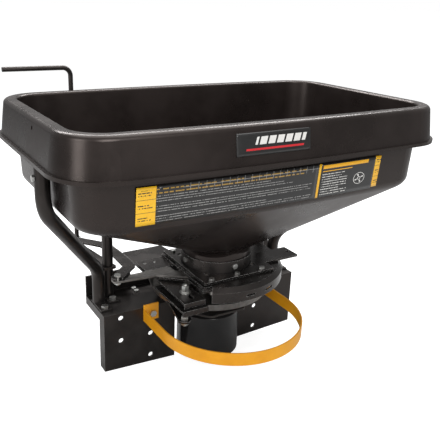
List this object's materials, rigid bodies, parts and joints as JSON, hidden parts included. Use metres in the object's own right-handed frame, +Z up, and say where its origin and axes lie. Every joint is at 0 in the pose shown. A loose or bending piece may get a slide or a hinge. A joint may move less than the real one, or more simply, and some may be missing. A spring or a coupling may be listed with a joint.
{
  "type": "mounted broadcast spreader",
  "caption": "Receiver-mounted broadcast spreader: black moulded hopper, slide gate with hand crank, electric spinner and orange guard hoop on a bent steel bracket.",
  "frame": {"origin": "rear face of the mounting plates, at the centre of the eight mounting holes", "axes": "+X to the spreader's right as seen from behind the vehicle facing it, +Y towards the vehicle, +Z up"},
  "size_m": [0.762, 0.4869, 0.5937],
  "materials": {
    "hopper_poly": "semi-gloss black moulded polyethylene",
    "black_steel": "satin black powder coat",
    "motor_black": "gloss black paint",
    "guard_orange": "satin golden-orange paint",
    "bare_steel": "bare rolled steel",
    "spinner_steel": "dull pressed stainless steel",
    "zinc": "bright zinc plate",
    "rubber": "matt black rubber"
  },
  "bodies": {
    "frame": {"band_screws": "zinc", "brace_bolts": "zinc", "cable_gland": "rubber", "clamp_nuts": "zinc", "deflector_skirt": "black_steel", "foot_bolts": "zinc", "gate_guide_plate": "black_steel", "gate_housing_plate": "black_steel", "gate_rails": "black_steel", "guard_hoop": "guard_orange", "guide_screws": "zinc", "hoop_bolts": "zinc", "hopper": "hopper_poly", "left_brace_tube": "black_steel", "left_tube_feet": "black_steel", "left_upright": "black_steel", "left_upright_pad": "rubber", "motor": "bare_steel", "motor_can": "motor_black", "motor_flange": "bare_steel", "motor_plate": "black_steel", "motor_plate_bolts": "zinc", "motor_screws": "zinc", "mounting_bracket": "black_steel", "neck_band": "black_steel", "neck_bolts": "zinc", "neck_plate": "black_steel", "outrigger_arm": "black_steel", "outrigger_bolts": "zinc", "outrigger_spacers": "zinc", "right_brace_tube": "black_steel", "right_tube_feet": "black_steel", "right_upright": "black_steel", "right_upright_pad": "rubber", "rod_lower_guide": "black_steel", "rod_upper_guide": "black_steel", "shelf_screws": "zinc", "stack_bolts": "zinc", "stack_spacers": "zinc", "stud_nuts": "zinc", "support_stud": "zinc", "tray_support": "black_steel"},
    "crank": {"control_rod": "black_steel", "crank_arm": "black_steel", "crank_nuts": "zinc"},
    "gate": {"gate_plate": "bare_steel", "link_pin": "zinc"},
    "spinner": {"spinner_dish": "spinner_steel", "spinner_fins": "spinner_steel", "spinner_hub": "bare_steel", "drive_shaft": "bare_steel", "agitator": "bare_steel"},
    "tray": {"pattern_tray": "black_steel"}
  },
  "joints": [
    {"name": "crank_turn", "type": "hinge", "parent": "frame", "child": "crank", "pos_m": [-0.211, 0.204, 0.147], "axis": [0, 0, 1], "range_deg": [0, 18]},
    {"name": "gate_slide", "type": "slide", "parent": "frame", "child": "gate", "axis": [1, 0, 0], "range_m": [0, 0.0706]},
    {"name": "spinner_spin", "type": "hinge", "parent": "frame", "child": "spinner", "pos_m": [0, -0.014, 0.098], "axis": [0, 0, 1], "continuous": true},
    {"name": "tray_slide", "type": "slide", "parent": "frame", "child": "tray", "axis": [0, 1, 0], "range_m": [0, 0.024]}
  ],
  "couplings": [
    {"joint": "gate_slide", "follows": "crank_turn", "m_per_rad": 0.2235}
  ]
}
